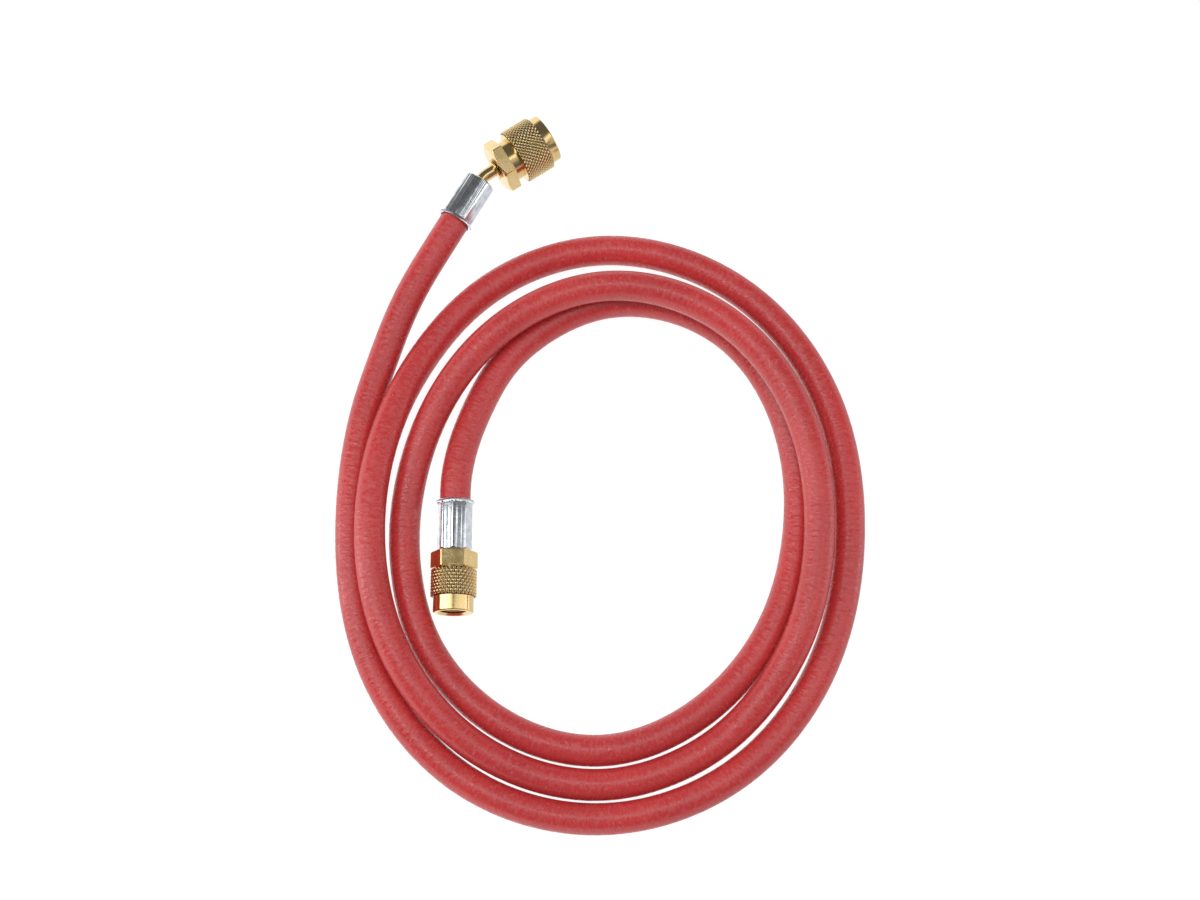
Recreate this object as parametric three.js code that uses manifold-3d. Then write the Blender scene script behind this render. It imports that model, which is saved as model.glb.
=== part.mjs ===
// Refrigerant charging hose: a rubber hose lying in a loose coil, with a swivel nut at each end.
// Millimetres, +Z up. The coil lies on the floor, and the angled end points away at the back.
import * as THREE from "three";
import { mergeVertices } from "three/addons/utils/BufferGeometryUtils.js";
import Module from "manifold-3d";

const wasm = await Module();
wasm.setup();

// Hose
const HOSE_OD = 11.2;
const HOSE_BORE = 4.8;
const HOSE_SIDES = 12;
const HOSE_STEPS = 80;
const CRIMPED_OD = 9.6; // under a ferrule the cover is squeezed thinner
const INSERTED = 14.5; // length of hose inside a ferrule
const LEAD = 4; // it leaves the ferrule straight for this length

// Ferrules, the same pressed steel collar at both ends
const FERRULE_LENGTH = 18.7;
const FERRULE_OD = 12.7; // over the ridges
const FERRULE_WALL = 1.3;
const FERRULE_END_WALL = 1.6;
const FERRULE_SHOULDER = 1.6; // radius of the rounded end
const SHOULDER_STEPS = 3;
const LIP_OD = 13.9;
const LIP_LENGTH = 0.7;
const MOUTH_LENGTH = 1.6; // the lip's end fits round the full hose for this length
const CRIMP_FLATS = 8; // a ridge is left between each two
const CRIMP_DEPTH = 0.48;
const CRIMP_MARGIN = 2; // plain length left at each end of the crimp
const JAW_THICKNESS = 2;

// Stems, the brass inserts
const PASSAGE = 2.4;
const BARB_OD = 4.2;
const TUBE_OD = 4.8;
const TUBE_PASSAGE = 3;
const FLANGE_LENGTH = 2.4;
const NOSE_OD = 5.2;
const NOSE_LENGTH = 2;
const BEAD_OD = 8.4; // a rolled bead stops the nut on the angled stem from sliding back
const BEAD_LENGTH = 0.8;
const SHOULDER_TO_BEND = 2;
const BEND_TO_NUT = 6.1;

// Seals
const SEAL_THICKNESS = 1.8;

// Swivel nuts: AF is the size across the flats of the hexagon, and turn is how far round a flat lies from the top
const NUT_CORNERS = 6;
const NUT_STRAIGHT = {
  af: 15.1, hex: 5.8, neck: 13.6, groove: 0.4, knurl: 16.8, grip: 10.2,
  band: 14.6, length: 22, thread: 9.9, wall: 4.6, turn: 0,
};
const NUT_ANGLED = {
  af: 18.2, hex: 4.6, neck: 15.8, groove: 3.6, knurl: 21.5, grip: 11.4,
  band: 18.7, length: 23.2, thread: 11.5, wall: 5.2, turn: 12,
};
const NUT_SIDES = 48;

// Clearances
const GAP = 0.3; // between pieces that touch
const SWIVEL = 0.4; // round a stem, inside the nut that turns on it

// How the ends lie, measured from the middle of the coil
const STRAIGHT_COLLAR = [-54.4, 10];
const STRAIGHT_AZIMUTH = -90;
const STRAIGHT_CRIMP_TURN = 0; // a ridge is on top
const ANGLED_COLLAR = [-56.5, 117.7];
const ANGLED_AZIMUTH = 60;
const ANGLED_CRIMP_TURN = -6;
const NUT_AZIMUTH = 33.5;

// The hose between the ferrules: degrees round the coil, distance from its middle, height of the centreline.
// It starts at the angled end, winds in through three turns, and passes under and over itself.
const ROUTE = [
  [121, 123.4, 10.1], [128, 116.2, 8.9], [135, 109.9, 7.5], [142, 104.6, 6.4], [150, 100.3, 5.8],
  [165, 94.7, 5.6], [180, 92.4, 5.6], [210, 96.4, 5.6], [240, 102.6, 5.6], [270, 103.5, 5.6],
  [300, 98.7, 5.6], [330, 91.5, 5.6], [360, 88.8, 5.6], [390, 95.2, 5.6], [420, 104.3, 5.6],
  [450, 108, 5.6], [465, 105.4, 5.6], [480, 100.4, 5.7], [495, 94, 7.2], [510, 88.8, 11],
  [540, 84.5, 14.8], [570, 87, 13.9], [585, 89.2, 11.8], [600, 91, 8.4], [615, 91.9, 6.3],
  [630, 91.6, 5.7], [645, 89.2, 5.6], [660, 86, 6.4], [675, 82.4, 9.6], [690, 79.5, 13],
  [720, 76.9, 15.7], [750, 81.4, 17], [780, 88.2, 17.6], [810, 89.6, 17.3], [840, 82.4, 15],
  [870, 75.1, 9.4], [885, 73.2, 6.7], [900, 72.8, 5.7], [915, 73.8, 5.6], [930, 76, 5.6],
  [960, 79.1, 5.6], [990, 79.6, 5.6], [1020, 73.8, 5.6], [1050, 69.7, 5.6], [1080, 70.1, 5.6],
  [1110, 77.7, 5.6], [1140, 87.5, 5.6], [1170, 86.7, 5.6], [1185, 80.8, 5.6], [1200, 73.7, 5.9],
  [1215, 65.7, 6.7], [1230, 60.2, 7.8],
];

const steel = new THREE.MeshStandardMaterial({ color: 0xb9c0c8, roughness: 0.25, metalness: 1 });
const brass = new THREE.MeshStandardMaterial({ color: 0xc79a4a, roughness: 0.28, metalness: 1 });
const rubber = new THREE.MeshStandardMaterial({ color: 0xbc4642, roughness: 0.55, metalness: 0 });
const nylon = new THREE.MeshStandardMaterial({ color: 0xe8e4da, roughness: 0.5, metalness: 0 });

const radians = THREE.MathUtils.degToRad;

// A closed surface as a solid that can be joined and cut.
function solid(geometry) {
  const bare = geometry.clone();
  bare.deleteAttribute("normal");
  bare.deleteAttribute("uv");
  const merged = mergeVertices(bare, 1e-4);
  const corners = merged.index.array;
  const faces = [];
  for (let i = 0; i < corners.length; i += 3) {
    const [a, b, c] = corners.slice(i, i + 3);
    if (a !== b && b !== c && c !== a) faces.push(a, b, c); // a pole's faces have shrunk to lines
  }
  return new wasm.Manifold(
    new wasm.Mesh({
      numProp: 3,
      vertProperties: merged.attributes.position.array,
      triVerts: new Uint32Array(faces),
    }),
  );
}

// A solid as a named mesh, with sharp edges shaded sharp.
function meshOf(made, material, name) {
  const data = made.getMesh();
  const geometry = new THREE.BufferGeometry();
  geometry.setAttribute("position", new THREE.BufferAttribute(data.vertProperties, 3));
  geometry.setIndex(new THREE.BufferAttribute(data.triVerts, 1));
  const flat = geometry.toNonIndexed();
  flat.computeVertexNormals();
  const mesh = new THREE.Mesh(flat, material);
  mesh.name = name;
  return mesh;
}

// A profile of [along, radius] points turned round the local X axis.
// It starts and ends on the axis, or closes on itself.
function turned(profile, sides) {
  const points = profile.map(([along, radius]) => new THREE.Vector2(radius, along));
  if (profile[0][1] > 0) points.push(points[0].clone());
  const geometry = new THREE.LatheGeometry(points, sides);
  geometry.rotateZ(-Math.PI / 2);
  let made = solid(geometry);
  if (made.volume() < 0) {
    points.reverse();
    const other = new THREE.LatheGeometry(points, sides);
    other.rotateZ(-Math.PI / 2);
    made = solid(other);
  }
  return made;
}

// A round section with a hole, swept along a curve.
function sweptTube(curve, outer, inner, sides, steps) {
  const corner = (radius) => (_, i) => {
    const a = (i / sides) * 2 * Math.PI;
    return new THREE.Vector2(radius * Math.cos(a), radius * Math.sin(a));
  };
  const section = new THREE.Shape(Array.from({ length: sides }, corner(outer / 2)));
  section.holes.push(new THREE.Path(Array.from({ length: sides }, corner(inner / 2)).reverse()));
  return new THREE.ExtrudeGeometry(section, { steps, extrudePath: curve, curveSegments: 1 });
}

// Ferrule: local X runs from the lip, over the hose, to the fitting.
function ferrule(turn, material, name) {
  const r = FERRULE_OD / 2;
  const bore = r - FERRULE_WALL;
  const hole = TUBE_OD / 2 + GAP;
  const mouth = HOSE_OD / 2 + GAP;
  const round = Array.from({ length: SHOULDER_STEPS + 1 }, (_, i) => {
    const a = (i / SHOULDER_STEPS) * (Math.PI / 2);
    return [
      FERRULE_LENGTH - FERRULE_SHOULDER * (1 - Math.sin(a)),
      r - FERRULE_SHOULDER * (1 - Math.cos(a)),
    ];
  });
  const body = turned(
    [
      [0, mouth], [0, LIP_OD / 2 - 0.2], [0.2, LIP_OD / 2], [LIP_LENGTH, LIP_OD / 2],
      [LIP_LENGTH + 0.5, r], ...round, [FERRULE_LENGTH, hole],
      [FERRULE_LENGTH - FERRULE_END_WALL, hole], [FERRULE_LENGTH - FERRULE_END_WALL, bore],
      [MOUTH_LENGTH, bore], [MOUTH_LENGTH, mouth],
    ],
    NUT_SIDES,
  );
  // Each crimping jaw leaves a flat along the collar.
  const span = FERRULE_LENGTH - 2 * CRIMP_MARGIN;
  const jaw = new THREE.BoxGeometry(span, FERRULE_OD, JAW_THICKNESS);
  jaw.translate(CRIMP_MARGIN + span / 2, 0, r - CRIMP_DEPTH + JAW_THICKNESS / 2);
  let made = body;
  for (let i = 0; i < CRIMP_FLATS; i += 1) {
    const turnedJaw = jaw.clone().rotateX(radians(turn) + ((i + 0.5) / CRIMP_FLATS) * 2 * Math.PI);
    made = made.subtract(solid(turnedJaw));
  }
  return meshOf(made, material, name);
}

// Swivel nut: local X runs from the hexagon to the open mouth.
function swivelNut(n, material, name) {
  const corners = Array.from({ length: NUT_CORNERS }, (_, i) => {
    const a = (i / NUT_CORNERS) * 2 * Math.PI;
    const reach = n.af / 2 / Math.cos(Math.PI / NUT_CORNERS);
    return new THREE.Vector2(reach * Math.cos(a), reach * Math.sin(a));
  });
  const prism = new THREE.ExtrudeGeometry(new THREE.Shape(corners), {
    depth: n.hex, bevelEnabled: false,
  });
  prism.rotateZ(Math.PI / 2);
  prism.rotateY(Math.PI / 2); // a flat is on top
  prism.rotateX(radians(n.turn));
  const cone = n.af / 2 + 0.2; // the rear corners are turned off round
  const chamfer = turned(
    [[-1, 0], [-1, cone - 1.6], [1.1, cone + 2], [n.hex + 1, cone + 2], [n.hex + 1, 0]],
    NUT_SIDES,
  );
  const grip = n.hex + n.groove;
  const edge = 0.5;
  const barrel = turned(
    [
      [n.hex - 1, n.neck / 2 - 2], [n.hex - 1, n.neck / 2], [grip, n.neck / 2],
      [grip, n.knurl / 2 - edge], [grip + edge, n.knurl / 2],
      [grip + n.grip - edge, n.knurl / 2], [grip + n.grip, n.knurl / 2 - edge],
      [grip + n.grip, n.band / 2], [n.length - 0.4, n.band / 2],
      [n.length, n.band / 2 - 0.4], [n.length, n.neck / 2 - 2],
    ],
    NUT_SIDES,
  );
  const core = turned(
    [[n.hex - 1.5, 0], [n.hex - 1.5, n.neck / 2 - 1], [n.length, n.neck / 2 - 1], [n.length, 0]],
    NUT_SIDES,
  );
  const hole = TUBE_OD / 2 + SWIVEL;
  const socket = turned(
    [
      [-1, 0], [-1, hole], [n.wall, hole], [n.wall, n.thread / 2],
      [n.length - 0.6, n.thread / 2], [n.length + 0.4, n.thread / 2 + 1], [n.length + 0.4, 0],
    ],
    32,
  );
  const made = solid(prism).intersect(chamfer).add(core).add(barrel).subtract(socket);
  return meshOf(made, material, name);
}

// The flange, nose and seat at the front of a stem, in the nut's own frame.
function stemHead(n, tube, passage) {
  const start = n.wall + GAP;
  const flange = n.thread / 2 - SWIVEL;
  return turned(
    [
      [start - 1, passage], [start - 1, tube], [start, tube], [start, flange],
      [start + FLANGE_LENGTH, flange], [start + FLANGE_LENGTH, NOSE_OD / 2],
      [start + FLANGE_LENGTH + NOSE_LENGTH, NOSE_OD / 2],
      [start + FLANGE_LENGTH + NOSE_LENGTH, passage],
    ],
    24,
  );
}

// Flat ring that seals on the flange, round the nose.
function seal(n, name) {
  const start = n.wall + GAP + FLANGE_LENGTH + GAP;
  const ring = turned(
    [
      [start, NOSE_OD / 2 + GAP], [start, n.thread / 2 - SWIVEL],
      [start + SEAL_THICKNESS, n.thread / 2 - SWIVEL], [start + SEAL_THICKNESS, NOSE_OD / 2 + GAP],
    ],
    32,
  );
  return meshOf(ring, nylon, name);
}

function straightStem() {
  const barb = BARB_OD / 2;
  const tube = TUBE_OD / 2;
  const shank = turned(
    [
      [1, PASSAGE / 2], [1, barb - 0.4], [2, barb], [INSERTED + 1, barb], [INSERTED + 1, tube],
      [FERRULE_LENGTH + GAP + NUT_STRAIGHT.wall, tube],
      [FERRULE_LENGTH + GAP + NUT_STRAIGHT.wall, PASSAGE / 2],
    ],
    24,
  );
  const head = stemHead(NUT_STRAIGHT, tube, PASSAGE / 2 + 0.3);
  return meshOf(shank.add(head.translate([FERRULE_LENGTH + GAP, 0, 0])), brass, "stem_straight");
}

// The angled stem is a brass tube bent between the ferrule and the nut.
function angledStem() {
  const bend = radians(NUT_AZIMUTH - ANGLED_AZIMUTH);
  const corner = FERRULE_LENGTH + SHOULDER_TO_BEND;
  const along = (distance) =>
    new THREE.Vector3(corner + distance * Math.cos(bend), distance * Math.sin(bend), 0);
  const path = new THREE.CurvePath();
  path.add(new THREE.LineCurve3(new THREE.Vector3(INSERTED + 0.5, 0, 0), new THREE.Vector3(corner - 2, 0, 0)));
  path.add(new THREE.QuadraticBezierCurve3(new THREE.Vector3(corner - 2, 0, 0), along(0), along(2)));
  path.add(new THREE.LineCurve3(along(2), along(BEND_TO_NUT + NUT_ANGLED.wall + GAP)));
  const tube = solid(sweptTube(path, TUBE_OD, TUBE_PASSAGE, 20, 24));
  const barb = turned(
    [
      [1, PASSAGE / 2], [1, BARB_OD / 2 - 0.4], [2, BARB_OD / 2],
      [INSERTED + 1.2, BARB_OD / 2], [INSERTED + 1.2, PASSAGE / 2],
    ],
    24,
  );
  const bead = turned(
    [
      [-GAP - BEAD_LENGTH, TUBE_PASSAGE / 2 + 0.4], [-GAP - BEAD_LENGTH, BEAD_OD / 2],
      [-GAP, BEAD_OD / 2], [-GAP, TUBE_PASSAGE / 2 + 0.4],
    ],
    24,
  );
  const head = stemHead(NUT_ANGLED, TUBE_OD / 2 + 0.1, TUBE_PASSAGE / 2 + 0.3).add(bead);
  const nutStart = along(BEND_TO_NUT);
  const turn = THREE.MathUtils.radToDeg(bend);
  const placed = head.rotate([0, 0, turn]).translate([nutStart.x, nutStart.y, 0]);
  return meshOf(tube.add(barb).add(placed), brass, "stem_angled");
}

const straightHeight = NUT_STRAIGHT.knurl / 2; // each nut lies on its knurled grip
const angledHeight = NUT_ANGLED.knurl / 2;

// Each end is a group whose origin is the middle of its ferrule's lip.
const straightEnd = new THREE.Group();
straightEnd.position.set(...STRAIGHT_COLLAR, straightHeight);
straightEnd.rotation.z = radians(STRAIGHT_AZIMUTH);
const straightNut = new THREE.Group();
straightNut.position.x = FERRULE_LENGTH + GAP;
straightNut.add(swivelNut(NUT_STRAIGHT, brass, "nut_straight"), seal(NUT_STRAIGHT, "seal_straight"));
straightEnd.add(ferrule(STRAIGHT_CRIMP_TURN, steel, "ferrule_straight"), straightStem(), straightNut);

const angledEnd = new THREE.Group();
angledEnd.position.set(...ANGLED_COLLAR, angledHeight);
angledEnd.rotation.z = radians(ANGLED_AZIMUTH);
const angledNut = new THREE.Group();
const bendAngle = radians(NUT_AZIMUTH - ANGLED_AZIMUTH);
angledNut.position.set(
  FERRULE_LENGTH + SHOULDER_TO_BEND + BEND_TO_NUT * Math.cos(bendAngle),
  BEND_TO_NUT * Math.sin(bendAngle),
  0,
);
angledNut.rotation.z = bendAngle;
angledNut.add(swivelNut(NUT_ANGLED, brass, "nut_angled"), seal(NUT_ANGLED, "seal_angled"));
angledEnd.add(ferrule(ANGLED_CRIMP_TURN, steel, "ferrule_angled"), angledStem(), angledNut);

// The hose runs straight for its inserted length in each ferrule.
function insideFerrule(collar, azimuth, height, depth) {
  return new THREE.Vector3(
    collar[0] + depth * Math.cos(radians(azimuth)),
    collar[1] + depth * Math.sin(radians(azimuth)),
    height,
  );
}
const hosePoints = [
  insideFerrule(ANGLED_COLLAR, ANGLED_AZIMUTH, angledHeight, INSERTED),
  insideFerrule(ANGLED_COLLAR, ANGLED_AZIMUTH, angledHeight, INSERTED / 2),
  insideFerrule(ANGLED_COLLAR, ANGLED_AZIMUTH, angledHeight, 0),
  insideFerrule(ANGLED_COLLAR, ANGLED_AZIMUTH, angledHeight, -LEAD),
  ...ROUTE.map(([angle, radius, height]) =>
    new THREE.Vector3(radius * Math.cos(radians(angle)), radius * Math.sin(radians(angle)), height)),
  insideFerrule(STRAIGHT_COLLAR, STRAIGHT_AZIMUTH, straightHeight, -LEAD),
  insideFerrule(STRAIGHT_COLLAR, STRAIGHT_AZIMUTH, straightHeight, 0),
  insideFerrule(STRAIGHT_COLLAR, STRAIGHT_AZIMUTH, straightHeight, INSERTED / 2),
  insideFerrule(STRAIGHT_COLLAR, STRAIGHT_AZIMUTH, straightHeight, INSERTED),
];
const hoseCurve = new THREE.CatmullRomCurve3(hosePoints, false, "centripetal");
let hoseSolid = solid(sweptTube(hoseCurve, HOSE_OD, HOSE_BORE, HOSE_SIDES, HOSE_STEPS));

// Under each ferrule the cover is squeezed: a ring of it is taken off.
const squeezed = turned(
  [
    [MOUTH_LENGTH - GAP, CRIMPED_OD / 2], [MOUTH_LENGTH - GAP, HOSE_OD],
    [INSERTED + 1, HOSE_OD], [INSERTED + 1, CRIMPED_OD / 2],
  ],
  32,
);
hoseSolid = hoseSolid
  .subtract(squeezed.rotate([0, 0, ANGLED_AZIMUTH]).translate([...ANGLED_COLLAR, angledHeight]))
  .subtract(squeezed.rotate([0, 0, STRAIGHT_AZIMUTH]).translate([...STRAIGHT_COLLAR, straightHeight]));

const coil = new THREE.Group();
coil.add(meshOf(hoseSolid, rubber, "hose"), angledEnd, straightEnd);

// The part's origin is under the middle of its box, on the floor.
const box = new THREE.Box3().setFromObject(coil, true);
coil.position.set(-(box.min.x + box.max.x) / 2, -(box.min.y + box.max.y) / 2, -box.min.z);

const root = new THREE.Group();
root.add(coil);

export default root;
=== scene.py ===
import math

import bmesh
import bpy
import numpy as np
from mathutils import Matrix, Vector


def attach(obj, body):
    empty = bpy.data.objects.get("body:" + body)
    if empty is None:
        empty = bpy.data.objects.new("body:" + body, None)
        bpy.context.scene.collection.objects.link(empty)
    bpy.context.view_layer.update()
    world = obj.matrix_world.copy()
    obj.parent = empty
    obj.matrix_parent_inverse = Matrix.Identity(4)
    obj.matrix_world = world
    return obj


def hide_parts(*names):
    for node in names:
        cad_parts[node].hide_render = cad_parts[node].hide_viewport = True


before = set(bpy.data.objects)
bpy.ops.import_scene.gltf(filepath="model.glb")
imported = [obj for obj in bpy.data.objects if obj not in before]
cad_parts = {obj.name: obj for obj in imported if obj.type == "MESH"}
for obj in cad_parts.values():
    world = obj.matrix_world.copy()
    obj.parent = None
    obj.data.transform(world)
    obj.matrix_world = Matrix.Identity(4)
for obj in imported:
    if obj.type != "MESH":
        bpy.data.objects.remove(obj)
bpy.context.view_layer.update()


# Camera. The hose is seen from well above, from the side of the coil's near
# edge, with a short telephoto lens, so that the coil shows nearly as a plan.

MM = 0.001
CAMERA_TILT = math.radians(15)
CAMERA_DISTANCE = 740 * MM
CAMERA_TARGET = Vector((0.2, 6.4, 0)) * MM
FOCAL_LENGTH = 60  # millimetres
FILM_WIDTH = 36  # millimetres

lens = bpy.data.cameras.new("camera")
lens.lens = FOCAL_LENGTH
lens.sensor_width = FILM_WIDTH
camera = bpy.data.objects.new("camera", lens)
bpy.context.scene.collection.objects.link(camera)
back = Vector((0, -math.sin(CAMERA_TILT), math.cos(CAMERA_TILT)))
camera.location = CAMERA_TARGET + back * CAMERA_DISTANCE
camera.rotation_euler = (CAMERA_TILT, 0, 0)
bpy.context.scene.camera = camera
bpy.context.scene.view_settings.view_transform = "Standard"


# Hose. One rubber hose, extruded over its liner and braid and cured inside a
# wrap of wet cloth, which leaves fine creases across the cover. It lies in
# three loose turns, passes over itself twice, and ends inside the ferrules.

HOSE_DIAMETER = 11.2 * MM
HOSE_RADIUS = HOSE_DIAMETER / 2
HOSE_SIDES = 40
HOSE_STEPS = 1500
MEASURING_STEPS = 20000
INSERTED = 14.5 * MM
CRIMPED_RADIUS = 4.75 * MM
CRIMPED_LENGTH = 13 * MM
LEAD = 4 * MM
COIL_MIDDLE = Vector((2.03, -25.24, 0.03)) * MM
ANGLED_COLLAR = COIL_MIDDLE + Vector((-56.5, 117.7, 10.75)) * MM
ANGLED_AZIMUTH = math.radians(60)
STRAIGHT_COLLAR = COIL_MIDDLE + Vector((-54.4, 10, 8.4)) * MM
STRAIGHT_AZIMUTH = math.radians(-90)

# Degrees round the coil, then metres out from its middle and up from it.
ROUTE = [
    (121, 0.1234, 0.0101), (128, 0.1162, 0.0089), (135, 0.1099, 0.0075), (142, 0.1046, 0.0064),
    (150, 0.1003, 0.0058), (165, 0.0947, 0.0056), (180, 0.0924, 0.0056), (210, 0.0964, 0.0056),
    (240, 0.1026, 0.0056), (270, 0.1035, 0.0056), (300, 0.0987, 0.0056), (330, 0.0915, 0.0056),
    (360, 0.0888, 0.0056), (390, 0.0952, 0.0056), (420, 0.1043, 0.0056), (450, 0.108, 0.0056),
    (465, 0.1054, 0.0056), (480, 0.1004, 0.0057), (495, 0.094, 0.0072), (510, 0.0888, 0.011),
    (540, 0.0845, 0.0148), (570, 0.087, 0.0139), (585, 0.0892, 0.0118), (600, 0.091, 0.0084),
    (615, 0.0919, 0.0063), (630, 0.0916, 0.0057), (645, 0.0892, 0.0056), (660, 0.086, 0.0064),
    (675, 0.0824, 0.0096), (690, 0.0795, 0.013), (720, 0.0769, 0.0157), (750, 0.0814, 0.017),
    (780, 0.0882, 0.0176), (810, 0.0896, 0.0173), (840, 0.0824, 0.015), (870, 0.0751, 0.0094),
    (885, 0.0732, 0.0067), (900, 0.0728, 0.0057), (915, 0.0738, 0.0056), (930, 0.076, 0.0056),
    (960, 0.0791, 0.0056), (990, 0.0796, 0.0056), (1020, 0.0738, 0.0056), (1050, 0.0697, 0.0056),
    (1080, 0.0701, 0.0056), (1110, 0.0777, 0.0056), (1140, 0.0875, 0.0056), (1170, 0.0867, 0.0056),
    (1185, 0.0808, 0.0056), (1200, 0.0737, 0.0059), (1215, 0.0657, 0.0067), (1230, 0.0602, 0.0078),
]


def along(collar, azimuth, distance):
    """A point on the axis of a fitting, in front of its collar."""
    return collar + distance * Vector((math.cos(azimuth), math.sin(azimuth), 0))


def round_coil(degrees, radius, height):
    """A point of the coil."""
    a = math.radians(degrees)
    return COIL_MIDDLE + Vector((radius * math.cos(a), radius * math.sin(a), height))


route = [along(ANGLED_COLLAR, ANGLED_AZIMUTH, d) for d in (INSERTED, INSERTED / 2, 0, -LEAD)]
route += [round_coil(*point) for point in ROUTE]
route += [along(STRAIGHT_COLLAR, STRAIGHT_AZIMUTH, d) for d in (-LEAD, 0, INSERTED / 2, INSERTED)]


def smooth_line(points, count):
    """Evenly spaced places on the natural cubic through the points, and their distances."""
    p = np.array(points)
    t = np.concatenate([[0], np.cumsum(np.linalg.norm(np.diff(p, axis=0), axis=1))])
    h = np.diff(t)[:, None]
    slope = np.diff(p, axis=0) / h
    system = np.eye(len(p))
    bends = np.zeros_like(p)
    for i in range(1, len(p) - 1):
        system[i, i - 1:i + 2] = h[i - 1, 0], 2 * (h[i - 1, 0] + h[i, 0]), h[i, 0]
        bends[i] = 6 * (slope[i] - slope[i - 1])
    m = np.linalg.solve(system, bends)
    fine = np.linspace(0, t[-1], MEASURING_STEPS)
    k = np.clip(np.searchsorted(t, fine, side="right") - 1, 0, len(p) - 2)
    w = (fine - t[k])[:, None]
    line = p[k] + w * (slope[k] - h[k] * (2 * m[k] + m[k + 1]) / 6)
    line += w ** 2 * m[k] / 2 + w ** 3 * (m[k + 1] - m[k]) / (6 * h[k])
    run = np.concatenate([[0], np.cumsum(np.linalg.norm(np.diff(line, axis=0), axis=1))])
    even = np.linspace(0, run[-1], count)
    return np.stack([np.interp(even, run, line[:, i]) for i in range(3)], axis=1), even


hose_line, hose_run = smooth_line(route, HOSE_STEPS + 1)
forward = np.gradient(hose_line, axis=0)
forward /= np.linalg.norm(forward, axis=1)[:, None]
inward = np.cross([0.0, 0.0, 1.0], forward)
inward /= np.linalg.norm(inward, axis=1)[:, None]
upward = np.cross(forward, inward)

# Rings of points, and where each point would be if the hose lay straight. Under a ferrule
# the cover is squeezed thinner.
turn = np.linspace(0, 2 * np.pi, HOSE_SIDES, endpoint=False)
to_end = np.minimum(hose_run, hose_run[-1] - hose_run)
reach = np.where(to_end < CRIMPED_LENGTH, CRIMPED_RADIUS, HOSE_RADIUS)[:, None]
across, over = reach * np.sin(turn), reach * np.cos(turn)
rings = hose_line[:, None] + across[..., None] * inward[:, None] + over[..., None] * upward[:, None]
straight = np.stack([across, over, np.broadcast_to(hose_run[:, None], across.shape)], axis=2)
faces = []
for i in range(HOSE_STEPS):
    a, b = i * HOSE_SIDES, (i + 1) * HOSE_SIDES
    for j in range(HOSE_SIDES):
        k = (j + 1) % HOSE_SIDES
        faces.append((a + j, a + k, b + k, b + j))
faces.append(tuple(range(HOSE_SIDES))[::-1])
faces.append(tuple(HOSE_STEPS * HOSE_SIDES + j for j in range(HOSE_SIDES)))
hose_mesh = bpy.data.meshes.new("hose_cover")
hose_mesh.from_pydata(rings.reshape(-1, 3).tolist(), [], faces)
laid_straight = hose_mesh.attributes.new("straight", "FLOAT_VECTOR", "POINT")
laid_straight.data.foreach_set("vector", straight.reshape(-1).astype(np.float32))
hose_mesh.shade_smooth()
hose = bpy.data.objects.new("hose_cover", hose_mesh)
bpy.context.scene.collection.objects.link(hose)


class Flow:
    """A socket that can be added, multiplied and so on, so that shader maths reads as maths."""

    def __init__(self, tree, socket=None):
        self.tree = tree
        self.socket = socket

    def node(self, kind, settings=None, inputs=None, output=0):
        """Any node: its settings are set first, then the values or links of its sockets."""
        made = self.tree.nodes.new(kind)
        for key, value in (settings or {}).items():
            setattr(made, key, value)
        for key, value in (inputs or {}).items():
            if isinstance(value, Flow):
                self.tree.links.new(value.socket, made.inputs[key])
            else:
                made.inputs[key].default_value = value
        return Flow(self.tree, made.outputs[output])

    def maths(self, operation, *values):
        return self.node("ShaderNodeMath", {"operation": operation}, dict(enumerate(values)))

    def __add__(self, other):
        return self.maths("ADD", self, other)

    __radd__ = __add__

    def __sub__(self, other):
        return self.maths("SUBTRACT", self, other)

    def __rsub__(self, other):
        return self.maths("SUBTRACT", other, self)

    def __mul__(self, other):
        return self.maths("MULTIPLY", self, other)

    __rmul__ = __mul__

    def between(self, low, high):
        """0 below low, 1 above high, and a smooth rise from one to the other."""
        return self.node(
            "ShaderNodeMapRange", {"interpolation_type": "SMOOTHSTEP"},
            {"Value": self, "From Min": low, "From Max": high},
        )

    def blend(self, first, second):
        """From the first colour to the second as this value goes from 0 to 1."""
        return self.node(
            "ShaderNodeMix", {"data_type": "RGBA"}, {0: self, 6: first, 7: second}, output=2
        )

    def noise(self, place, scale, detail=2.0, roughness=0.5):
        return self.node(
            "ShaderNodeTexNoise", {},
            {"Vector": place, "Scale": scale, "Detail": detail, "Roughness": roughness},
        )

    def scaled(self, place, x, y, z):
        return self.node(
            "ShaderNodeVectorMath", {"operation": "MULTIPLY"}, {0: place, 1: (x, y, z)}
        )


def new_finish(name, **constants):
    """A material with one Principled surface, and a Flow to build its maths with."""
    finish = bpy.data.materials.new(name)
    finish.use_nodes = True
    tree = finish.node_tree
    surface = next(n for n in tree.nodes if n.type == "BSDF_PRINCIPLED")
    for key, value in constants.items():
        surface.inputs[key.replace("_", " ")].default_value = value
    return finish, Flow(tree), surface


def feed(surface, **flows):
    """Links flows into sockets of the surface."""
    for key, value in flows.items():
        value.tree.links.new(value.socket, surface.inputs[key.replace("_", " ")])


RUBBER_RED = (0.60, 0.044, 0.045, 1)
RUBBER_DULL = (0.52, 0.037, 0.040, 1)
RUBBER_PAINTED_GLINT = (0.75, 0.19, 0.18, 1)
RUBBER_RELIEF = 0.3 * MM

rubber, flow, surface = new_finish("hose_rubber", IOR=1.5, Specular_IOR_Level=0.75)
laid = flow.node("ShaderNodeAttribute", {"attribute_name": "straight"}, output=1)
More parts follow.
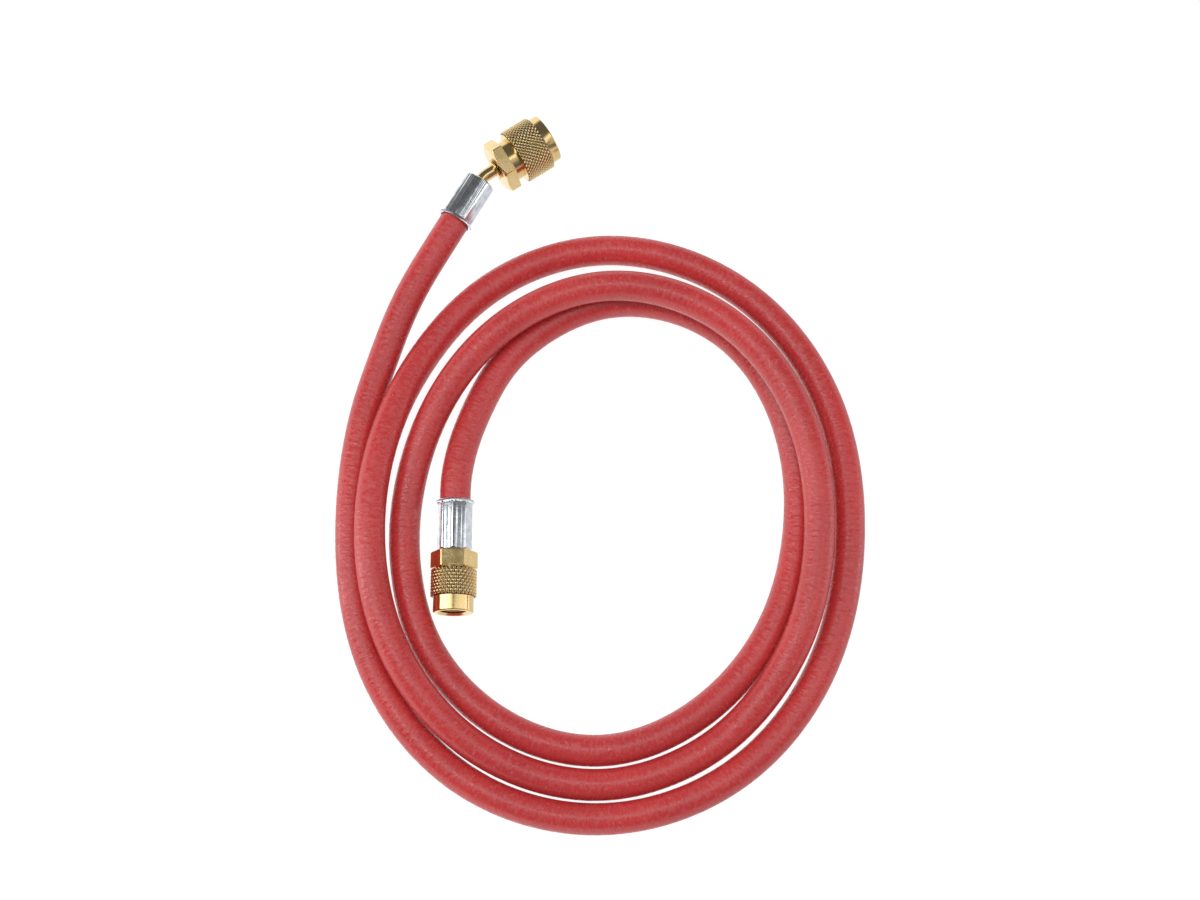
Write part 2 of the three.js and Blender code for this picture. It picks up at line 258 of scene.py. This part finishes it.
# Each pattern is laid on the hose as if it were straight, in waves per metre across and along.
creases = flow.noise(flow.scaled(laid, 280, 280, 700), 1.0, 3.0, 0.6)
folds = flow.noise(flow.scaled(laid, 160, 160, 520), 1.0, 2.0)
grain = flow.noise(flow.scaled(laid, 420, 420, 900), 1.0, 2.0)
mottle = flow.noise(flow.scaled(laid, 60, 60, 28), 1.0, 3.0)
specks = flow.noise(flow.scaled(laid, 700, 700, 900), 1.0, 1.0).between(0.66, 0.74)
tone = mottle.between(0.3, 0.7).blend(RUBBER_DULL, RUBBER_RED)
# Pale specks and grain painted into the colour: painted glints, standing for the sparkle in the
# highlight.
tone = (grain.between(0.55, 0.8) * 0.22 + specks * 0.35).blend(tone, RUBBER_PAINTED_GLINT)
feed(surface, Base_Color=tone)
feed(surface, Roughness=0.2 + 0.26 * grain.between(0.35, 0.65) - 0.08 * specks)
relief = creases * 0.8 + folds * 0.5 + grain * 0.3 + specks * 0.3
feed(surface, Normal=flow.node(
    "ShaderNodeBump", {}, {"Strength": 1.0, "Distance": RUBBER_RELIEF, "Height": relief}
))
hose_mesh.materials.append(rubber)

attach(hose, "hose_assembly")
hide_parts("hose")


# Ferrules. A pressed steel cap with a thin flared lip is pushed over the hose
# and squeezed by eight jaws, which leaves broad flats with rounded ridges
# between them. It is zinc plated and bright. Both ends have the same one.

FERRULE_LENGTH = 18.7 * MM
RIDGE_RADIUS = 6.35 * MM
FERRULE_BORE = 5.05 * MM
LIP_RADIUS = 6.95 * MM
LIP_EDGE = 0.15 * MM
SHOULDER = 1.6 * MM
END_WALL = 1.6 * MM
MOUTH = 0.9 * MM
STEM_RADIUS = 2.4 * MM
GAP = 0.3 * MM
CRIMPS = 8
CRIMP_SIDES = 18
FERRULE_SIDES = CRIMP_SIDES * CRIMPS
STRAIGHT_CRIMP_TURN = math.radians(22.5)
ANGLED_CRIMP_TURN = math.radians(16.5)
# Distance from the axis every 2.5 degrees, from the middle of a flat to the top of a ridge.
CRIMPED = [5.87, 5.875, 5.89, 5.915, 5.95, 6.0, 6.065, 6.14, 6.225, 6.29]


def turned(name, sides, profile, closed=True):
    """A round piece drawn out of a circle along Z: the profile lists (height, radius)."""
    bpy.ops.object.select_all(action="DESELECT")
    bpy.ops.mesh.primitive_circle_add(vertices=sides, radius=profile[0][1])
    piece = bpy.context.object
    piece.name = name
    piece.data.name = name
    bpy.ops.object.mode_set(mode="EDIT")
    bpy.ops.mesh.select_mode(type="VERT")
    bpy.ops.mesh.select_all(action="SELECT")
    bpy.ops.transform.translate(value=(0, 0, profile[0][0]))
    stations = list(profile) + ([profile[0]] if closed else [])
    for (before, wide), (height, radius) in zip(stations, stations[1:]):
        bpy.ops.mesh.extrude_region_move(
            TRANSFORM_OT_translate={"value": (0, 0, height - before)}
        )
        bpy.ops.transform.resize(
            value=(radius / wide, radius / wide, 1), center_override=(0, 0, height)
        )
    bpy.ops.mesh.select_all(action="SELECT")
    bpy.ops.mesh.remove_doubles(threshold=1e-7)
    bpy.ops.mesh.normals_make_consistent(inside=False)
    bpy.ops.object.mode_set(mode="OBJECT")
    return piece


def choose(piece):
    """Selects one piece alone and makes it the active one."""
    bpy.ops.object.select_all(action="DESELECT")
    piece.select_set(True)
    bpy.context.view_layer.objects.active = piece


def edit(piece):
    """Opens a piece for editing, alone and with nothing picked."""
    choose(piece)
    bpy.ops.object.mode_set(mode="EDIT")
    bpy.ops.mesh.select_mode(type="VERT")
    bpy.ops.mesh.select_all(action="DESELECT")


def pick(piece, test):
    """Picks the points of an open piece whose place passes the test."""
    mesh = bmesh.from_edit_mesh(piece.data)
    for vertex in mesh.verts:
        vertex.select_set(bool(test(vertex.co)))
    mesh.select_flush(True)
    bmesh.update_edit_mesh(piece.data)


def place(piece, matrix):
    """Puts a piece made along Z where it belongs, with its place in its mesh."""
    choose(piece)
    piece.matrix_world = matrix
    bpy.ops.object.transform_apply(location=True, rotation=True, scale=True)


def shade(piece, angle):
    """Shades a piece smooth but for its edges sharper than the angle, with its flats kept flat."""
    choose(piece)
    bpy.ops.object.shade_smooth_by_angle(angle=math.radians(angle))
    weighing = piece.modifiers.new("weighing", "WEIGHTED_NORMAL")
    weighing.keep_sharp = True
    bpy.ops.object.modifier_apply(modifier=weighing.name)


def soften(piece, width, segments=2, angle=35):
    """Rounds the sharp edges, and shades the rest smooth."""
    choose(piece)
    rounding = piece.modifiers.new("rounding", "BEVEL")
    rounding.width = width
    rounding.segments = segments
    rounding.limit_method = "ANGLE"
    rounding.angle_limit = math.radians(angle)
    bpy.ops.object.modifier_apply(modifier=rounding.name)
    shade(piece, angle)


def combine(piece, other, operation):
    """Joins, cuts or intersects a piece with another, which is used up."""
    choose(piece)
    change = piece.modifiers.new("change", "BOOLEAN")
    change.operation = operation
    change.solver = "EXACT"
    change.object = other
    bpy.ops.object.modifier_apply(modifier=change.name)
    bpy.data.objects.remove(other)


def facing(point, azimuth, spin=0.0):
    """The place of a piece whose Z axis lies level and points to the azimuth."""
    axis = Vector((math.cos(azimuth), math.sin(azimuth), 0))
    up = Vector((0, 0, 1))
    side = up.cross(axis)
    turn_to = Matrix((side, up, axis)).transposed().to_4x4()
    return Matrix.Translation(point) @ turn_to @ Matrix.Rotation(spin, 4, "Z")


hole = STEM_RADIUS + GAP
profile = [
    (0, HOSE_RADIUS + GAP), (0, LIP_RADIUS - LIP_EDGE), (LIP_EDGE, LIP_RADIUS),
    (0.45 * MM, LIP_RADIUS), (0.62 * MM, LIP_RADIUS - LIP_EDGE),
    (0.75 * MM, LIP_RADIUS - 0.45 * MM), (1.3 * MM, RIDGE_RADIUS),
]
for degrees in (0, 15, 30, 45, 60, 75, 90):
    a = math.radians(degrees)
    profile.append((
        FERRULE_LENGTH - SHOULDER * (1 - math.sin(a)), RIDGE_RADIUS - SHOULDER * (1 - math.cos(a))
    ))
profile += [
    (FERRULE_LENGTH, hole), (FERRULE_LENGTH - END_WALL, hole),
    (FERRULE_LENGTH - END_WALL, FERRULE_BORE), (MOUTH, FERRULE_BORE), (MOUTH, HOSE_RADIUS + GAP),
]
ferrule = turned("ferrule_straight_shell", FERRULE_SIDES, profile)

# What the jaws leave: everything near the lip, and beyond it eight flats and eight ridges.
# A cutting piece reaches beyond what it cuts, and has a thin core in place of a point.
BEYOND = 1 * MM
CORE = 0.2 * MM
AROUND_LIP = 8 * MM
PAST_END = 20 * MM
jaws = turned(
    "jaws", FERRULE_SIDES,
    [(-BEYOND, CORE), (-BEYOND, AROUND_LIP), (MOUTH, AROUND_LIP), (MOUTH + 0.4 * MM, RIDGE_RADIUS),
     (PAST_END, RIDGE_RADIUS), (PAST_END, CORE)],
)
side_angle = 360 / FERRULE_SIDES
edit(jaws)
for step, radius in enumerate(CRIMPED):
    pick(jaws, lambda co: co.z > MOUTH + 0.3 * MM and co.xy.length > 2 * MM and step == abs(
        round(math.degrees(math.atan2(co.y, co.x)) / side_angle + CRIMP_SIDES / 2)
        % CRIMP_SIDES - CRIMP_SIDES // 2
    ))
    shrink = radius * MM / RIDGE_RADIUS
    bpy.ops.transform.resize(value=(shrink, shrink, 1), center_override=(0, 0, 0))
bpy.ops.object.mode_set(mode="OBJECT")
combine(ferrule, jaws, "INTERSECT")
soften(ferrule, 0.07 * MM, 2, 40)
second_ferrule = ferrule.copy()
second_ferrule.data = ferrule.data.copy()
second_ferrule.name = second_ferrule.data.name = "ferrule_angled_shell"
bpy.context.scene.collection.objects.link(second_ferrule)
place(ferrule, facing(STRAIGHT_COLLAR, STRAIGHT_AZIMUTH, STRAIGHT_CRIMP_TURN))
place(second_ferrule, facing(ANGLED_COLLAR, ANGLED_AZIMUTH, ANGLED_CRIMP_TURN))

ZINC = (0.84, 0.86, 0.88, 1)
ZINC_BLUE = (0.60, 0.66, 0.74, 1)
ZINC_RELIEF = 0.05 * MM
zinc, flow, surface = new_finish("ferrule_zinc", Metallic=1.0)
spot = flow.node("ShaderNodeTexCoord", output=3)
cloud = flow.noise(spot, 420, 3.0)
fine = flow.noise(spot, 2600, 2.0)
feed(surface, Base_Color=cloud.between(0.35, 0.7).blend(ZINC, ZINC_BLUE))
feed(surface, Roughness=0.06 + 0.1 * cloud + 0.06 * fine)
feed(surface, Normal=flow.node(
    "ShaderNodeBump", {}, {"Strength": 0.5, "Distance": ZINC_RELIEF, "Height": fine * 0.3 + cloud}
))
for piece, node in ((ferrule, "ferrule_straight"), (second_ferrule, "ferrule_angled")):
    piece.data.materials.clear()
    piece.data.materials.append(zinc)
    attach(piece, "hose_assembly")
    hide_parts(node)


# Stems. Turned brass inserts: a barbed end grips the hose's bore, and a flange
# and nose inside the nut carry the seal. The angled one is a bent tube with a
# rolled bead behind the nut.

BEAD_RADIUS = 4.2 * MM
BARB_RADIUS = 2.1 * MM
BARB_DEPTH = 0.3 * MM
BARBS = 4
FIRST_BARB = 1.5 * MM
BARB_STEP = 3.2 * MM
BARB_LENGTH = 2.6 * MM
BARBED_END = 15.5 * MM
STEM_START = 1 * MM
PASSAGE_RADIUS = 1.2 * MM
NUT_AZIMUTH = math.radians(33.5)
BEND = ANGLED_AZIMUTH - NUT_AZIMUTH
BEND_RADIUS = 9 * MM
SHOULDER_TO_BEND = 2.0 * MM
BEND_TO_NUT = 6.1 * MM
FLANGE_LENGTH = 2.4 * MM
NOSE_RADIUS = 2.6 * MM
NOSE_LENGTH = 2 * MM
SWIVEL_GAP = 0.4 * MM
# Sizes of the two nuts: the diamonds of the knurl are counted round, and their length is
# along the nut. The corners of the bar are rounded by corner.
STRAIGHT = {
    "flats": 15.1 * MM, "hex": 5.8 * MM, "neck": 6.8 * MM, "groove": 0.4 * MM,
    "knurl": 8.4 * MM, "grip": 10.2 * MM, "band": 7.3 * MM, "length": 22 * MM,
    "thread": 4.95 * MM, "wall": 4.6 * MM, "turn": 0, "diamonds": 32, "diamond": 2.3 * MM,
    "cut": 0.55 * MM, "corner": 1.3 * MM, "chamfer": 0.55 * MM,
}
ANGLED = {
    "flats": 18.2 * MM, "hex": 4.6 * MM, "neck": 7.9 * MM, "groove": 3.6 * MM,
    "knurl": 10.75 * MM, "grip": 11.4 * MM, "band": 9.35 * MM, "length": 23.2 * MM,
    "thread": 5.75 * MM, "wall": 5.2 * MM, "turn": math.radians(12), "diamonds": 41,
    "diamond": 1.63 * MM, "cut": 0.42 * MM, "corner": 0.5 * MM, "chamfer": -0.1 * MM,
}
bend_corner = along(ANGLED_COLLAR, ANGLED_AZIMUTH, FERRULE_LENGTH + SHOULDER_TO_BEND)
angled_rear = along(bend_corner, NUT_AZIMUTH, BEND_TO_NUT)
straight_rear = along(STRAIGHT_COLLAR, STRAIGHT_AZIMUTH, FERRULE_LENGTH + GAP)


def stem_head(start, nut):
    """The flange and nose at the front of a stem, from a height on."""
    face = start + nut["wall"] + GAP
    flange = nut["thread"] - SWIVEL_GAP
    tip = face + FLANGE_LENGTH + NOSE_LENGTH
    return [
        (face, STEM_RADIUS), (face, flange - 0.2 * MM), (face + 0.2 * MM, flange),
        (face + FLANGE_LENGTH, flange), (face + FLANGE_LENGTH, NOSE_RADIUS),
        (tip - 0.3 * MM, NOSE_RADIUS), (tip, NOSE_RADIUS - 0.3 * MM),
        (tip, 1.5 * MM), (tip - 3 * MM, PASSAGE_RADIUS),
    ]


low = BARB_RADIUS - BARB_DEPTH
shank = [(STEM_START, PASSAGE_RADIUS), (STEM_START, low)]
for ring in range(BARBS):
    at = FIRST_BARB + BARB_STEP * ring
    shank += [(at, low), (at + BARB_LENGTH, BARB_RADIUS), (at + BARB_LENGTH + 0.1 * MM, low)]
shank += [(BARBED_END, low), (BARBED_END, STEM_RADIUS)]
straight_stem = turned(
    "stem_straight_insert", 32, shank + stem_head(FERRULE_LENGTH + GAP, STRAIGHT)
)
soften(straight_stem, 0.05 * MM, 1, 40)
place(straight_stem, facing(STRAIGHT_COLLAR, STRAIGHT_AZIMUTH))

# The angled one: the tube is drawn straight out of the ferrule, spun round the bend, and
# drawn on into the nut, where it carries its bead and its head.
from_corner = BEND_RADIUS * math.tan(BEND / 2)
bend_start = FERRULE_LENGTH + SHOULDER_TO_BEND - from_corner
angled_stem = turned("stem_angled_insert", 48, shank + [(bend_start, STEM_RADIUS)], closed=False)
edit(angled_stem)
pick(angled_stem, lambda co: co.z > bend_start - 1e-6)
bpy.ops.mesh.spin(
    steps=10, angle=BEND, center=(-BEND_RADIUS, 0, bend_start), axis=(0, 1, 0)
)
onward = Vector((-math.sin(BEND), 0, math.cos(BEND)))
length = BEND_TO_NUT - from_corner + ANGLED["wall"] + 1 * MM
bpy.ops.mesh.extrude_region_move(TRANSFORM_OT_translate={"value": onward * length})
bpy.ops.mesh.edge_face_add()
pick(angled_stem, lambda co: co.z < 1.001 * STEM_START and co.xy.length < 1.01 * PASSAGE_RADIUS)
bpy.ops.mesh.edge_face_add()
bpy.ops.mesh.select_all(action="SELECT")
bpy.ops.mesh.normals_make_consistent(inside=False)
bpy.ops.object.mode_set(mode="OBJECT")
bpy.ops.object.shade_smooth_by_angle(angle=math.radians(40))
place(angled_stem, facing(ANGLED_COLLAR, ANGLED_AZIMUTH))
head = turned("head", 32, stem_head(0, ANGLED))
bead = turned(
    "bead", 48,
    [(-1.3 * MM, 2 * MM), (-1.3 * MM, STEM_RADIUS), (-1.1 * MM, BEAD_RADIUS - 0.3 * MM),
     (-0.95 * MM, BEAD_RADIUS), (-0.45 * MM, BEAD_RADIUS), (-0.3 * MM, BEAD_RADIUS - 0.2 * MM),
     (-0.3 * MM, 2 * MM)],
)
for piece in (head, bead):
    soften(piece, 0.05 * MM, 1, 40)
    place(piece, facing(angled_rear, NUT_AZIMUTH))
choose(angled_stem)
for piece in (head, bead):
    piece.select_set(True)
bpy.ops.object.join()

BRASS = (0.83, 0.59, 0.25, 1)
BRASS_PALE = (0.88, 0.68, 0.35, 1)
BRASS_DARK = (0.55, 0.36, 0.13, 1)
BRASS_DIRT_AND_SHADE = (0.10, 0.05, 0.015, 1)
BRASS_WORN_AND_HIGHLIGHT = (0.98, 0.82, 0.50, 1)
BRASS_RELIEF = 0.04 * MM


def brass_finish(name, rear, azimuth, nut=None):
    """Bright turned brass: faint cloudy tarnish, dirt in pores, and tool marks round the axis.

    A nut's rolled grip is duller, with dirt and painted shade in its grooves, and wear and a painted
    highlight on its crests.
    """
    finish, flow, surface = new_finish(name, Metallic=1.0)
    spot = flow.node("ShaderNodeTexCoord", output=3)
    cloud = flow.noise(spot, 300, 3.0)
    grain = flow.noise(spot, 3000, 2.0)
    axis = (math.cos(azimuth), math.sin(azimuth), 0)
    own = flow.node("ShaderNodeVectorMath", {"operation": "SUBTRACT"}, {0: spot, 1: tuple(rear)})
    axial = flow.node(
        "ShaderNodeVectorMath", {"operation": "DOT_PRODUCT"}, {0: own, 1: axis}, output=1
    )
    marks = flow.node(
        "ShaderNodeTexNoise", {"noise_dimensions": "1D"}, {"W": axial, "Scale": 6000, "Detail": 2}
    )
    tone = cloud.between(0.3, 0.7).blend(BRASS, BRASS_PALE)
    tone = (grain.between(0.62, 0.8) * 0.4).blend(tone, BRASS_DARK)
    polish = 0.1 + 0.12 * cloud + 0.06 * grain
    if nut:
        cross = flow.node("ShaderNodeVectorMath", {"operation": "CROSS_PRODUCT"}, {0: own, 1: axis})
        radius = flow.node("ShaderNodeVectorMath", {"operation": "LENGTH"}, {0: cross}, output=1)
        start = nut["hex"] + nut["groove"]
        end = start + nut["grip"]
        rolled = axial.between(start, start + 0.1 * MM) * (1 - axial.between(end - 0.1 * MM, end))
        groove = 1 - radius.between(nut["knurl"] - nut["cut"], nut["knurl"] - 0.65 * nut["cut"])
        crest = radius.between(nut["knurl"] - 0.4 * nut["cut"], nut["knurl"])
        # Crests painted lighter: partly wear, partly a painted highlight.
        tone = (rolled * crest * 0.8).blend(tone, BRASS_WORN_AND_HIGHLIGHT)
        # Grooves painted nearly black: partly dirt, partly painted shade in the recesses.
        tone = (rolled * groove * 0.95).blend(tone, BRASS_DIRT_AND_SHADE)
        polish = polish + 0.05 * rolled
    feed(surface, Base_Color=tone)
    feed(surface, Roughness=polish)
    feed(surface, Normal=flow.node(
        "ShaderNodeBump", {},
        {"Strength": 0.2, "Distance": BRASS_RELIEF, "Height": grain * 0.3 + cloud * 0.5 + marks * 0.4},
    ))
    return finish


for piece, node, rear, azimuth in (
    (straight_stem, "stem_straight", straight_rear, STRAIGHT_AZIMUTH),
    (angled_stem, "stem_angled", angled_rear, NUT_AZIMUTH),
):
    piece.data.materials.clear()
    piece.data.materials.append(brass_finish(node + "_brass", rear, azimuth))
    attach(piece, "hose_assembly")
    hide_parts(node)


# Swivel nuts. Turned from hexagon brass bar: the rear corners are chamfered,
# the grip is rolled with a diamond knurl, and the mouth is bored and tapped.
# Each hangs on its stem's flange and turns freely.

THREAD_DEPTH = 0.55 * MM
THREAD_PITCH = 1.27 * MM
THREAD_START = 0.8 * MM
THREAD_RUNOUT = 2.5 * MM
EDGE = 0.45 * MM
EDGE_ROUND = 0.12 * MM
OVERLAP = 1 * MM
# A knurl is a grid of points with four columns and eight rows to a diamond, every other row
# turned by half a column, so that the grooves run along its edges. Each point is rolled in by
# a share of the cut that depends on its distance, in columns, from the nearest groove.
STEPS = 4
ROLLED = {0: 1.0, 1: 0.36}


def swivel_nut(name, nut):
    """A knurled nut along Z, from its hexagon to its mouth."""
    grip_start = nut["hex"] + nut["groove"]
    grip_end = grip_start + nut["grip"]
    wide, edge, bore = nut["knurl"], EDGE, STEM_RADIUS + SWIVEL_GAP
    count = round((nut["grip"] - 2 * edge) / nut["diamond"] * 2 * STEPS)
    row = (nut["grip"] - 2 * edge) / count
    profile = [(nut["hex"] - OVERLAP, nut["neck"]), (grip_start, nut["neck"])]
    profile += [(grip_start, wide - nut["cut"] - edge)]
    profile += [(grip_start + edge + i * row, wide) for i in range(count + 1)]
    profile += [(grip_end, wide - nut["cut"] - edge), (grip_end, nut["band"])]
    profile += [(nut["length"] - EDGE, nut["band"])]
    profile += [(nut["length"] - EDGE_ROUND, nut["band"] - EDGE_ROUND)]
    profile += [(nut["length"], nut["band"] - EDGE)]
    profile += [(nut["length"], nut["thread"] + THREAD_START)]
    crest, root = nut["thread"], nut["thread"] + THREAD_DEPTH
    depth = nut["length"] - THREAD_START
    while depth > nut["wall"] + THREAD_RUNOUT:
        profile += [
            (depth, crest), (depth - 0.15 * THREAD_PITCH, crest),
            (depth - THREAD_PITCH / 2, root), (depth - 0.85 * THREAD_PITCH, crest),
        ]
        depth -= THREAD_PITCH
    profile += [(nut["wall"], crest), (nut["wall"], bore), (nut["hex"] - 3 * MM, bore)]
    columns = nut["diamonds"] * STEPS
    barrel = turned(name, columns, profile)

    # The grooves of the knurl run both ways round, and cross at the ends of the diamonds.
    def in_knurl(co):
        i = (co.z - grip_start - edge) / row
        return -0.01 < i < count + 0.01 and co.xy.length > nut["band"] - 0.2 * MM

    def grid_row(co):
        return round((co.z - grip_start - edge) / row)

    def steps_to_groove(co):
        halves = round(math.atan2(co.x, co.y) / (math.pi / columns))
        left, right = (halves + grid_row(co)) // 2, (halves - grid_row(co)) // 2
        return min(left % STEPS, -left % STEPS, right % STEPS, -right % STEPS)

    edit(barrel)
    pick(barrel, lambda co: in_knurl(co) and grid_row(co) % 2)
    bpy.ops.transform.rotate(value=math.pi / columns, orient_axis="Z", center_override=(0, 0, 0))
    for steps, share in ROLLED.items():
        pick(barrel, lambda co: in_knurl(co) and co.xy.length > wide - 1e-6
             and steps_to_groove(co) == steps)
        shrink = (wide - share * nut["cut"]) / wide
        bpy.ops.transform.resize(value=(shrink, shrink, 1), center_override=(0, 0, 0))
    pick(barrel, in_knurl)
    bpy.ops.mesh.quads_convert_to_tris(quad_method="SHORTEST_DIAGONAL")
    bpy.ops.object.mode_set(mode="OBJECT")

    # The hexagon: a six-sided bar with rounded corners, cut by a turned cone at the rear,
    # and bored for the stem.
    bpy.ops.object.select_all(action="DESELECT")
    bpy.ops.mesh.primitive_cylinder_add(
        vertices=6, radius=nut["flats"] / 2 / math.cos(math.radians(30)), depth=nut["hex"],
        location=(0, 0, nut["hex"] / 2), rotation=(0, 0, math.radians(30) + nut["turn"]),
    )
    hexagon = bpy.context.object
    bpy.ops.object.transform_apply(location=True, rotation=True, scale=True)
    edit(hexagon)
    bpy.ops.mesh.select_mode(type="EDGE")
    mesh = bmesh.from_edit_mesh(hexagon.data)
    for side in mesh.edges:
        a, b = side.verts
        side.select_set(abs(a.co.z - b.co.z) > 1e-4)
    bmesh.update_edit_mesh(hexagon.data)
    bpy.ops.mesh.bevel(offset=nut["corner"] / 2, segments=4, affect="EDGES")
    bpy.ops.object.mode_set(mode="OBJECT")
    rear = nut["flats"] / 2 + nut["chamfer"]
    cone = turned(
        "cone", 96,
        [(-BEYOND, CORE), (-BEYOND, rear - 1.2 * MM), (0, rear), (1.8 * MM, rear + 3 * MM),
         (nut["hex"] + BEYOND, rear + 3 * MM), (nut["hex"] + BEYOND, CORE)],
    )
    hole = turned(
        "hole", 48,
        [(-BEYOND, bore + 1.3 * MM), (0.9 * MM, bore), (nut["hex"] + BEYOND, bore),
         (nut["hex"] + BEYOND, CORE / 2), (-BEYOND, CORE / 2)],
    )
    combine(hexagon, cone, "INTERSECT")
    combine(hexagon, hole, "DIFFERENCE")
    soften(hexagon, 0.12 * MM, 2, 25)
    combine(barrel, hexagon, "UNION")
    shade(barrel, 38)
    return barrel


nuts = []
for name, node, nut, rear, azimuth in (
    ("nut_straight_knurled", "nut_straight", STRAIGHT, straight_rear, STRAIGHT_AZIMUTH),
    ("nut_angled_knurled", "nut_angled", ANGLED, angled_rear, NUT_AZIMUTH),
):
    piece = swivel_nut(name, nut)
    place(piece, facing(rear, azimuth))
    piece.data.materials.clear()
    piece.data.materials.append(brass_finish(node + "_brass", rear, azimuth, nut))
    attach(piece, "swivel_" + node)
    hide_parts(node)
    nuts.append(piece)


# Seals. A flat ring of white nylon lies on each stem's flange, round its nose,
# and is squeezed by the port's seat. It is punched from sheet.

SEAL_THICKNESS = 1.8 * MM
NYLON = (0.80, 0.78, 0.70, 1)
NYLON_SHADE = (0.72, 0.69, 0.60, 1)
nylon, flow, surface = new_finish("seal_nylon")
spot = flow.node("ShaderNodeTexCoord", output=3)
cloud = flow.noise(spot, 500, 3.0)
feed(surface, Base_Color=cloud.between(0.3, 0.7).blend(NYLON, NYLON_SHADE))
feed(surface, Roughness=0.4 + 0.15 * cloud)
for name, node, nut, rear, azimuth in (
    ("seal_straight_ring", "seal_straight", STRAIGHT, straight_rear, STRAIGHT_AZIMUTH),
    ("seal_angled_ring", "seal_angled", ANGLED, angled_rear, NUT_AZIMUTH),
):
    base = nut["wall"] + 2 * GAP + FLANGE_LENGTH
    inner, outer = NOSE_RADIUS + GAP, nut["thread"] - SWIVEL_GAP
    ring = turned(
        name, 48,
        [(base, inner), (base, outer), (base + SEAL_THICKNESS, outer), (base + SEAL_THICKNESS, inner)],
    )
    soften(ring, 0.15 * MM, 2, 40)
    place(ring, facing(rear, azimuth))
    ring.data.materials.append(nylon)
    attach(ring, "hose_assembly")
    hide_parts(node)


# The metal pieces are listed here, and the list is not used. The hose's length lies between its two
# ends inside the ferrules.
[ferrule, second_ferrule, straight_stem, angled_stem] + nuts


# Studio. A glowing white floor, a long soft light on the left and another on the
# right, a small one high on the right and a wide one overhead. The metal mirrors
# a bright horizon, brightest on the left, under a dark top.

FLOOR_SIZE = 40
PAPER = (0.2, 0.2, 0.2, 1)
GLOW = 0.93
bpy.ops.object.select_all(action="DESELECT")
bpy.ops.mesh.primitive_plane_add(size=FLOOR_SIZE, location=(0, 0, 0))
floor = bpy.context.object
floor.name = "floor"
paper, flow, surface = new_finish("paper_white", Roughness=0.9)
surface.inputs["Base Color"].default_value = PAPER
surface.inputs["Emission Color"].default_value = (1, 1, 1, 1)
surface.inputs["Emission Strength"].default_value = GLOW
floor.data.materials.append(paper)
floor.visible_glossy = False


def soft_light(name, width, length, power, location):
    """An oblong soft light that points at the middle of the coil, its length in the upright plane."""
    data = bpy.data.lights.new(name, "AREA")
    data.shape = "RECTANGLE"
    data.size = width
    data.size_y = length
    data.energy = power
    lamp = bpy.data.objects.new(name, data)
    bpy.context.scene.collection.objects.link(lamp)
    lamp.location = location
    lamp.rotation_euler = (-Vector(location)).to_track_quat("-Z", "Y").to_euler()
    return lamp


soft_light("key", width=0.36, length=3.0, power=9.2, location=(-1.03, 0.05, 0.8))
soft_light("fill", width=0.4, length=3.0, power=4.4, location=(1.08, 0.05, 0.74))
soft_light("panel", width=0.3, length=1.6, power=0.75, location=(0.5, -0.25, 1.15))
overhead = soft_light("overhead", width=1.6, length=1.6, power=10.5, location=(-0.15, 0.1, 1.2))
overhead.visible_glossy = False

HORIZON_LEFT = (1.15, 1.15, 1.15, 1)
HORIZON_RIGHT = (0.8, 0.8, 0.8, 1)
TOP = (0.12, 0.12, 0.12, 1)
world = bpy.data.worlds.new("studio")
world.use_nodes = True
sky = Flow(world.node_tree)
direction = sky.node("ShaderNodeTexCoord")
rightward = sky.node("ShaderNodeSeparateXYZ", {}, {"Vector": direction})
height = sky.node("ShaderNodeSeparateXYZ", {}, {"Vector": direction}, output=2)
level = rightward.between(-0.3, 0.5).blend(HORIZON_LEFT, HORIZON_RIGHT)
backdrop = world.node_tree.nodes["Background"]
backdrop.inputs["Strength"].default_value = 1
world.node_tree.links.new(
    height.between(0.1, 0.3).blend(level, TOP).socket,
    backdrop.inputs["Color"],
)
bpy.context.scene.world = world
